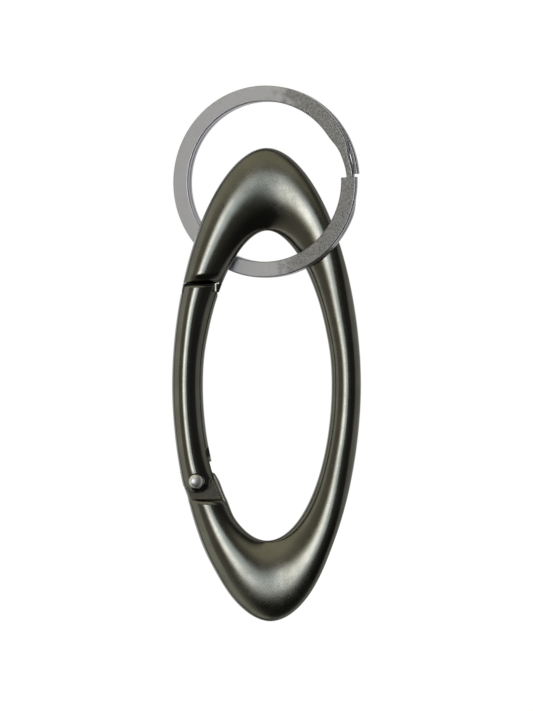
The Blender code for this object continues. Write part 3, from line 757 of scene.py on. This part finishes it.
def nickel_painted_shade(name):
    """Satin nickel, with painted shade: darker and speckled over the ring's right half, round the split."""
    finish, shader, nodes, place = new_material(name)
    shader.inputs["Metallic"].default_value = 1.0
    across = nodes.add("ShaderNodeSeparateXYZ", {}, Vector=place).outputs["X"]
    grain = nodes.noise(place, scale=4200.0, detail=3.0, roughness=0.7)
    cloud = nodes.noise(place, scale=900.0, detail=3.0, roughness=0.6)
    # Painted shade: from the ring's middle to its right the colour goes darker and speckled, with a
    # wavering edge
    edge = nodes.math("ADD", across, nodes.span(cloud, *WIDE_NOISE, -SHADE_WAVER, SHADE_WAVER))
    shaded = nodes.span(edge, *SHADE_ACROSS)
    satin = nodes.mix(grain, *NICKEL_COLOURS)
    speckled = nodes.mix(nodes.span(grain, 0.32, 0.68), *SHADE_COLOURS)
    nodes.put(shader.inputs["Base Color"], nodes.mix(shaded, satin, speckled))
    gloss = nodes.span(shaded, 0.0, 1.0, to_low=0.36, to_high=0.30)
    uneven = nodes.span(grain, *WIDE_NOISE, to_low=-0.03, to_high=0.03)
    nodes.put(shader.inputs["Roughness"], nodes.math("ADD", gloss, uneven))
    bump = nodes.add("ShaderNodeBump", {}, Height=grain, Distance=0.000008, Strength=0.5)
    nodes.put(shader.inputs["Normal"], bump)
    return finish


# Pieces


def make_body(finish, flank, painted_shade):
    shoulder = HINGE_HEIGHT - SHOULDER_DROP
    turn = np.linspace(0, math.pi / 2, ROUNDING_STEPS + 1)
    nose_heights = NOSE_END_HEIGHT + NOSE_ROUNDING * (1 - np.sin(turn))[::-1]
    nose_insets = NOSE_ROUNDING * (1 - np.cos(turn))[::-1]
    near_end = np.maximum(1 - (nose_heights - NOSE_END_HEIGHT) / NOSE_SIDE_ROUNDING, 0)
    nose_sides = NOSE_SIDE_ROUNDING * (1 - np.sqrt(1 - near_end ** 2))
    lip = float(np.interp(shoulder, LEVELS, LEVEL_HALF_DEPTH)) - SHOULDER_LIP_DEPTH
    foot_heights = shoulder - SHOULDER_ROUNDING * (1 - np.sin(turn))
    foot_insets = lip * (1 - np.cos(turn))
    start = left_arm_angle(NOSE_END_HEIGHT + NOSE_ROUNDING)[0]
    end = left_arm_angle(shoulder - SHOULDER_ROUNDING)[0] - 2 * math.pi
    long_way = start + (end - start) * np.arange(1, BODY_STATIONS) / BODY_STATIONS
    angles = np.concatenate((left_arm_angle(nose_heights), long_way, left_arm_angle(foot_heights)))
    depth_insets = np.concatenate((nose_insets, np.zeros(len(long_way)), foot_insets))
    width_insets = np.concatenate((nose_sides, np.zeros(len(long_way) + len(foot_heights))))
    body = add_piece("casting", loft_mesh("casting", bar_rings(angles, width_insets, depth_insets)), finish)
    low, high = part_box("hook_body")
    grow = 3 * NET_STEP
    xs = spaced((float(low.x) - grow, LEFT_ARM_REACH, NET_STEP))
    half = TONGUE_THICKNESS / 2 + SLOT_GAP + grow
    ys = spaced((-half, half, NET_STEP))
    zs = spaced((CENTRE_Z + shoulder - TONGUE_ROOT - grow, HINGE[2] + TONGUE_TOP + grow, NET_STEP))
    tongue_mesh, _ = field_mesh("tongue", tongue_field, xs, ys, zs)
    top = CENTRE_Z + NOSE_END_HEIGHT
    zs = spaced((top - LATCH_DROP - grow, top + LATCH_ROOT + grow, NET_STEP))
    tooth_mesh, _ = field_mesh("tooth", tooth_field, xs, ys, zs)
    tools = [add_piece("tongue", tongue_mesh, None), add_piece("tooth", tooth_mesh, None)]
    mesh = joined(body, tools)
    mesh.materials.clear()
    for part_finish in (finish, flank, painted_shade):
        mesh.materials.append(part_finish)
    mesh.shade_smooth()
    mesh.set_sharp_from_angle(angle=math.radians(CASTING_SHARP_DEG))
    for face in mesh.polygons:
        centre = face.center
        level = -SHOULDER_DROP - SHOULDER_ROUNDING < centre.z - HINGE[2] < TONGUE_TOP
        on_flank = abs(abs(centre.y) - TONGUE_THICKNESS / 2) < FLUSH_STEP
        # Faces of the latch tooth, save its slanted facet, get the near-black painted shade for the gap
        # under the nose
        shaded_tooth_face = centre.x < LEFT_ARM_REACH and HINGE[2] + BORE_END < centre.z < top
        shaded_tooth_face = shaded_tooth_face and not TOOTH_FACET[0] < centre.x < TOOTH_FACET[1]
        face.material_index = 2 if shaded_tooth_face else 1 if level and on_flank else 0
    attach(body, "hook")
    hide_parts("hook_body")


def make_gate(finish):
    low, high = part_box("gate")
    grow = 3 * NET_STEP
    xs = spaced((float(low.x) - grow, float(high.x) + grow, NET_STEP))
    ys = spaced((float(low.y) - grow, float(high.y) + grow, NET_STEP))
    bottom, top = float(low.z) - grow, CENTRE_Z + GATE_TOP_HEIGHT + grow
    above_hinge, below_fork = HINGE[2] + HINGE_NET_REACH, top - FORK_NET_REACH
    zs = spaced((bottom, above_hinge, NET_STEP), (above_hinge, below_fork, COARSE_NET_STEP),
                (below_fork, top, NET_STEP))
    mesh, points = field_mesh("gate_bar", gate_field, xs, ys, zs)
    set_normals(mesh, gate_field, points)
    gate = add_piece("gate_bar", mesh, finish)
    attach(gate, "gate")
    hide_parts("gate")


def dome(radius, base, rise):
    turn = [math.pi / 2 * step / DOME_STEPS for step in range(DOME_STEPS + 1)]
    return [(radius * math.sin(angle), base + rise * math.cos(angle)) for angle in turn]


def make_rivet(finish):
    profile = dome(RIVET_HEAD_RADIUS, RIVET_REACH, RIVET_DOME)
    profile.append((RIVET_RADIUS, RIVET_REACH - RIVET_FLARE))
    profile += [(radius, -height) for radius, height in reversed(profile)]
    mesh = turned_mesh("rivet", profile)
    rivet = add_piece("rivet", mesh, finish)
    rivet.rotation_euler = (math.pi / 2, 0, 0)
    rivet.location = HINGE
    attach(rivet, "gate")
    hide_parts("hinge_rivet")


def follower_seat():
    """Height along the gate of the follower's dome centre when the gate is shut."""
    return (TONGUE_TOP + FOLLOWER_RADIUS + SLOT_GAP - BORE_OFFSET * GATE_IN[2]) / GATE_UP[2]


def make_follower(finish):
    profile = [(0, FOLLOWER_COLLAR + FOLLOWER_STEM_LENGTH),
               (FOLLOWER_STEM_RADIUS, FOLLOWER_COLLAR + FOLLOWER_STEM_LENGTH),
               (FOLLOWER_STEM_RADIUS, FOLLOWER_COLLAR), (FOLLOWER_RADIUS, FOLLOWER_COLLAR),
               (FOLLOWER_RADIUS, 0)]
    steps = 12
    for step in range(1, steps + 1):
        turn = math.pi / 2 * step / steps
        radius = 0 if step == steps else FOLLOWER_RADIUS * math.cos(turn)
        profile.append((radius, -FOLLOWER_RADIUS * math.sin(turn)))
    mesh = turned_mesh("follower_pin", profile, FOLLOWER_SIDES)
    follower = add_piece("follower_pin", mesh, finish)
    follower.location = HINGE + GATE_IN * BORE_OFFSET + GATE_UP * follower_seat()
    follower.rotation_euler = (0, -LEAN, 0)
    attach(follower, "follower")
    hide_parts("spring_follower")


def make_spring(finish):
    mean_radius = FOLLOWER_RADIUS - SPRING_WIRE / 2
    low = follower_seat() + FOLLOWER_COLLAR + SPRING_WIRE / 2 + RUNNING_CLEARANCE
    high = BORE_END - SPRING_WIRE / 2 - RUNNING_CLEARANCE
    turns = (high - low) / SPRING_PITCH
    count = round(turns * SPRING_POINTS_PER_TURN)
    turn = 2 * math.pi * turns * np.arange(count + 1) / count
    path = (HINGE + GATE_IN * (BORE_OFFSET + mean_radius * np.cos(turn))[:, None]
            + GATE_UP * (low + (high - low) * np.arange(count + 1) / count)[:, None]
            + np.array((0, 1.0, 0)) * (mean_radius * np.sin(turn))[:, None])
    outward = GATE_IN * np.cos(turn)[:, None] + np.array((0, 1.0, 0)) * np.sin(turn)[:, None]
    sides = 12
    around = 2 * math.pi * np.arange(sides) / sides
    rings = path[:, None, :] + SPRING_WIRE / 2 * (outward[:, None, :] * np.cos(around)[None, :, None]
                                                  + GATE_UP * np.sin(around)[None, :, None])
    spring = add_piece("coil", loft_mesh("coil", rings), finish)
    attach(spring, "gate")
    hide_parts("return_spring")
    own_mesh(spring)


def ring_wire(path_deg):
    """Inner radius, outer radius and layer (0 front, 1 back) of the ring's wire along its path."""
    outer = RING_DIAMETER / 2
    inner = outer - RING_WIRE_WIDTH
    fading = 1 - ramp(path_deg, DIP_END_DEG)
    early, late = ramp(path_deg, JOG_DEG), ramp(path_deg, OUTER_DIP_DEG)
    outer_cut = RING_JOG_OUTER * fading * (JOG_EARLY_SHARE * early + (1 - JOG_EARLY_SHARE) * late)
    inner_cut = RING_JOG_INNER * fading * ramp(path_deg, INNER_DIP_DEG)
    inner_cut = inner_cut + (RING_WIRE_WIDTH - RING_TAIL_WIDTH) * ramp(path_deg, TAIL_DEG)
    return inner + inner_cut, outer - outer_cut, ramp(path_deg, STEP_BACK_DEG)


def make_ring(finish):
    """Split ring: one flat wire wound two turns, front turn first, joggled to the back."""
    path = np.linspace(0, RING_END_DEG, round(RING_END_DEG / RING_STEP_DEG) + 1)
    inner, outer, layer = ring_wire(path)
    pitch = RING_WIRE_THICKNESS + RING_TURN_GAP
    middle = pitch * (layer - 0.5)
    half = RING_WIRE_THICKNESS / 2
    corner_steps = 5
    section = []
    for side, depth_sign, start in ((0, -1, 180), (1, -1, 270), (1, 1, 0), (0, 1, 90)):
        for step in range(corner_steps + 1):
            angle = math.radians(start + 90 * step / corner_steps)
            section.append((side, depth_sign, math.cos(angle), math.sin(angle)))
    turn = np.radians(RING_START_DEG - path)
    rings, normals = [], []
    for side, depth_sign, out, deep in section:
        base = np.where(side == 1, outer - RING_EDGE, inner + RING_EDGE)
        radius = base + RING_EDGE * out
        depth = middle + depth_sign * (half - RING_EDGE) + RING_EDGE * deep
        rings.append(np.stack((radius * np.cos(turn), depth, radius * np.sin(turn)), -1))
        normals.append(np.stack((out * np.cos(turn), np.full(len(turn), deep), out * np.sin(turn)), -1))
    tilt = -math.radians(RING_TILT_DEG)
    tilted = np.array(((math.cos(tilt), math.sin(tilt), 0),
                       (-math.sin(tilt), math.cos(tilt), 0), (0, 0, 1)))
    place = np.array((RING_SIDE_SHIFT, 0, RING_CENTRE_Z))
    mesh = loft_mesh("key_ring", np.stack(rings, 1) @ tilted + place)
    directions = (np.stack(normals, 1) @ tilted).reshape(-1, 3)
    ends = {len(mesh.polygons) - 1, len(mesh.polygons) - 2}
    corners = []
    for face in mesh.polygons:
        flat = face.index in ends
        corners.extend([tuple(face.normal) if flat else tuple(directions[at]) for at in face.vertices])
    mesh.normals_split_custom_set(corners)
    ring = add_piece("key_ring", mesh, finish)
    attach(ring, "ring")
    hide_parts("split_ring")


# Studio

# Colours of the room round the object, by degrees from the camera's direction, rightward positive
WALLS = ((-180, (0.30, 0.30, 0.31)), (-150, (0.10, 0.10, 0.10)), (-120, (0.10, 0.10, 0.09)),
         (-112, (0.85, 0.85, 0.75)), (-64, (0.95, 0.95, 0.86)), (-57, (0.38, 0.37, 0.31)),
         (-34, (0.36, 0.34, 0.27)), (2, (0.22, 0.21, 0.18)), (20, (0.11, 0.11, 0.10)),
         (30, (0.06, 0.06, 0.06)), (60, (0.07, 0.07, 0.07)), (70, (0.46, 0.45, 0.42)),
         (120, (0.60, 0.60, 0.58)), (180, (0.45, 0.45, 0.46)))
# Soft light at the camera's height, warm on its left edge and cooler on its right part
LIGHT = ((-30, (0.0, 0.0, 0.0)), (-26, (1.0, 1.0, 0.7)), (-22, (2.6, 2.6, 2.4)), (-18, (6.2, 6.3, 6.6)),
         (-10, (6.0, 6.2, 6.5)), (-6, (2.6, 2.9, 3.2)), (2, (1.8, 2.1, 2.3)), (7, (0.0, 0.0, 0.0)))
# Degrees of rise, and degrees to the side, over which the light, the pale sky and the dark ground set in
LIGHT_FOOT = (-13, -5)
LIGHT_HEAD = (14, 6)
SKY = (0.85, 0.82, 0.62)
SKY_RISE = (12, 32)
SKY_SIDE = (45, 12)
GROUND = (0.03, 0.03, 0.03)
GROUND_FALL = (-8, -26)
GROUND_SIDE = (-55, -18)
GROUND_RIGHT = (80, 56)
# Shares of the backward direction: where sky and ground end, and where the white backdrop begins
FRONT_HALF = (0.35, -0.05)
BACKDROP_EDGE = (0.62, 0.80)
ROOM_FILL = (0.8, 0.8, 0.8)
FLOOR_COLOUR = (0.85, 0.85, 0.85, 1)
FLOOR_GLOW = 1.1
FLOOR_GLOW_SHARE = 0.8


def colour_ramp(nodes, share, stops, low, high):
    """Colour by a share that runs over low..high in the stops' own unit."""
    ramped = nodes.add("ShaderNodeValToRGB", {}, Fac=share)
    elements = ramped.color_ramp.elements
    elements[0].position = (stops[0][0] - low) / (high - low)
    elements[0].color = (*stops[0][1], 1)
    elements[1].position = (stops[-1][0] - low) / (high - low)
    elements[1].color = (*stops[-1][1], 1)
    for place, colour in stops[1:-1]:
        element = elements.new((place - low) / (high - low))
        element.color = (*colour, 1)
    return ramped.outputs[0]


def make_world():
    """Room as the metal sees it: white backdrop, grey wall, soft light, dark side and ground, pale top."""
    world = bpy.data.worlds.new("studio")
    world.use_nodes = True
    bpy.context.scene.world = world
    tree = world.node_tree
    tree.nodes.clear()
    nodes = Nodes(tree)
    toward = nodes.add("ShaderNodeTexCoord").outputs["Generated"]
    split = nodes.add("ShaderNodeSeparateXYZ", {}, Vector=toward)
    x, y, z = (split.outputs[axis] for axis in "XYZ")
    azimuth = nodes.math("ARCTAN2", x, nodes.math("MULTIPLY", y, -1.0))
    azimuth = nodes.math("SUBTRACT", azimuth, math.radians(CAMERA_AZIMUTH_DEG))
    azimuth = nodes.math("MULTIPLY", nodes.math("WRAP", azimuth, math.pi, -math.pi), 180 / math.pi)
    rise = nodes.math("MULTIPLY", nodes.math("ARCSINE", z), 180 / math.pi)
    wall = colour_ramp(nodes, nodes.span(azimuth, -180, 180, smooth=False), WALLS, -180, 180)
    first, last = LIGHT[0][0], LIGHT[-1][0]
    light = colour_ramp(nodes, nodes.span(azimuth, first, last, smooth=False), LIGHT, first, last)
    lit = nodes.math("MULTIPLY", nodes.span(rise, *LIGHT_FOOT), nodes.span(rise, *LIGHT_HEAD))
    front = nodes.span(y, *FRONT_HALF)
    above = nodes.math("MULTIPLY", nodes.span(rise, *SKY_RISE), nodes.span(azimuth, *SKY_SIDE))
    wall = nodes.mix(nodes.math("MULTIPLY", above, front), wall, (*SKY, 1))
    below = nodes.math("MULTIPLY", nodes.span(rise, *GROUND_FALL), nodes.span(azimuth, *GROUND_SIDE))
    below = nodes.math("MULTIPLY", below, nodes.span(azimuth, *GROUND_RIGHT))
    wall = nodes.mix(nodes.math("MULTIPLY", below, front), wall, (*GROUND, 1))
    room = nodes.mix(lit, wall, light, "ADD")
    path = nodes.add("ShaderNodeLightPath")
    glossy, transmitted = path.outputs["Is Glossy Ray"], path.outputs["Is Transmission Ray"]
    through = nodes.math("ADD", glossy, transmitted, clamp=True)
    seen = nodes.math("MULTIPLY", through, nodes.span(y, *BACKDROP_EDGE))
    seen = nodes.math("ADD", seen, path.outputs["Is Camera Ray"], clamp=True)
    room = nodes.mix(path.outputs["Is Diffuse Ray"], room, (*ROOM_FILL, 1))
    colour = nodes.mix(seen, room, (1, 1, 1, 1))
    background = nodes.add("ShaderNodeBackground", {}, Color=colour, Strength=1.0)
    output = nodes.add("ShaderNodeOutputWorld")
    nodes.put(output.inputs["Surface"], background)


def make_floor():
    """Pale floor below the hanging carabiner."""
    low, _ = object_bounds()
    level = low.z - FLOOR_DROP
    corners = [(x * FLOOR_HALF, y * FLOOR_HALF, level) for x, y in ((-1, -1), (1, -1), (1, 1), (-1, 1))]
    mesh = bpy.data.meshes.new("floor")
    mesh.from_pydata(corners, [], [(0, 1, 2, 3)])
    floor = bpy.data.objects.new("floor", mesh)
    bpy.context.scene.collection.objects.link(floor)
    finish = bpy.data.materials.new("pale_floor")
    finish.use_nodes = True
    nodes = Nodes(finish.node_tree)
    finish.node_tree.nodes.clear()
    path = nodes.add("ShaderNodeLightPath")
    camera, transmitted = path.outputs["Is Camera Ray"], path.outputs["Is Transmission Ray"]
    seen = nodes.math("ADD", camera, transmitted, clamp=True)
    plain = nodes.add("ShaderNodeBsdfDiffuse", {}, Color=FLOOR_COLOUR)
    glow = nodes.add("ShaderNodeEmission", {}, Color=(1, 1, 1, 1), Strength=FLOOR_GLOW)
    mixed = nodes.add("ShaderNodeMixShader")
    nodes.put(mixed.inputs[0], nodes.math("MULTIPLY", seen, FLOOR_GLOW_SHARE))
    nodes.put(mixed.inputs[1], plain)
    nodes.put(mixed.inputs[2], glow)
    output = nodes.add("ShaderNodeOutputMaterial")
    nodes.put(output.inputs["Surface"], mixed)
    mesh.materials.append(finish)
    floor.visible_glossy = False


def make_camera():
    camera = bpy.data.cameras.new("camera")
    camera.sensor_width = SENSOR
    camera.lens = SENSOR * CAMERA_DISTANCE / PICTURE_HEIGHT
    camera.clip_start, camera.clip_end = CAMERA_CLIP
    item = bpy.data.objects.new("camera", camera)
    bpy.context.scene.collection.objects.link(item)
    turn = math.radians(CAMERA_AZIMUTH_DEG)
    back = Vector((math.sin(turn), -math.cos(turn), 0))
    item.location = Vector(CAMERA_AIM) + back * CAMERA_DISTANCE
    item.rotation_mode = "QUATERNION"
    item.rotation_quaternion = (-back).to_track_quat("-Z", "Y")
    bpy.context.scene.camera = item


gunmetal = plated("gunmetal", light=(0.150, 0.147, 0.128), arm_roughness=0.15, grain=0.35,
                  **PLATING)
gate_gunmetal = plated("gate_gunmetal", light=(0.148, 0.146, 0.128), arm_roughness=0.11, grain=0.2,
                       **PLATING)
flank_metal = cast_flank("cast_flank")
# Near-black finish on the latch tooth: painted shade standing in for the dark gap under the nose
tooth_shade_paint = bright_metal("unpolished_tooth", dark=(0.012, 0.012, 0.012), light=(0.025, 0.025, 0.022),
                           roughness=0.50, pit_scale=3000.0, pit_depth=0.00002, pit_strength=0.5)
rivet_steel = bright_metal("rivet_steel", dark=(0.62, 0.62, 0.63), light=(0.90, 0.90, 0.90),
                           roughness=0.42, pit_scale=2600.0, pit_depth=0.00004, pit_strength=0.8)
ring_nickel = nickel_painted_shade("satin_nickel")
brass = bright_metal("turned_brass", dark=(0.40, 0.29, 0.14), light=(0.55, 0.42, 0.22),
                     roughness=0.30, pit_scale=2600.0, pit_depth=0.00002, pit_strength=0.4)
spring_steel = bright_metal("drawn_wire", dark=(0.28, 0.28, 0.28), light=(0.38, 0.38, 0.38),
                            roughness=0.30, pit_scale=3000.0, pit_depth=0.00001, pit_strength=0.4)

make_body(gunmetal, flank_metal, tooth_shade_paint)
make_gate(gate_gunmetal)
make_rivet(rivet_steel)
make_follower(brass)
make_spring(spring_steel)
make_ring(ring_nickel)
bpy.context.scene.view_settings.view_transform = "Standard"
make_world()
make_floor()
make_camera()
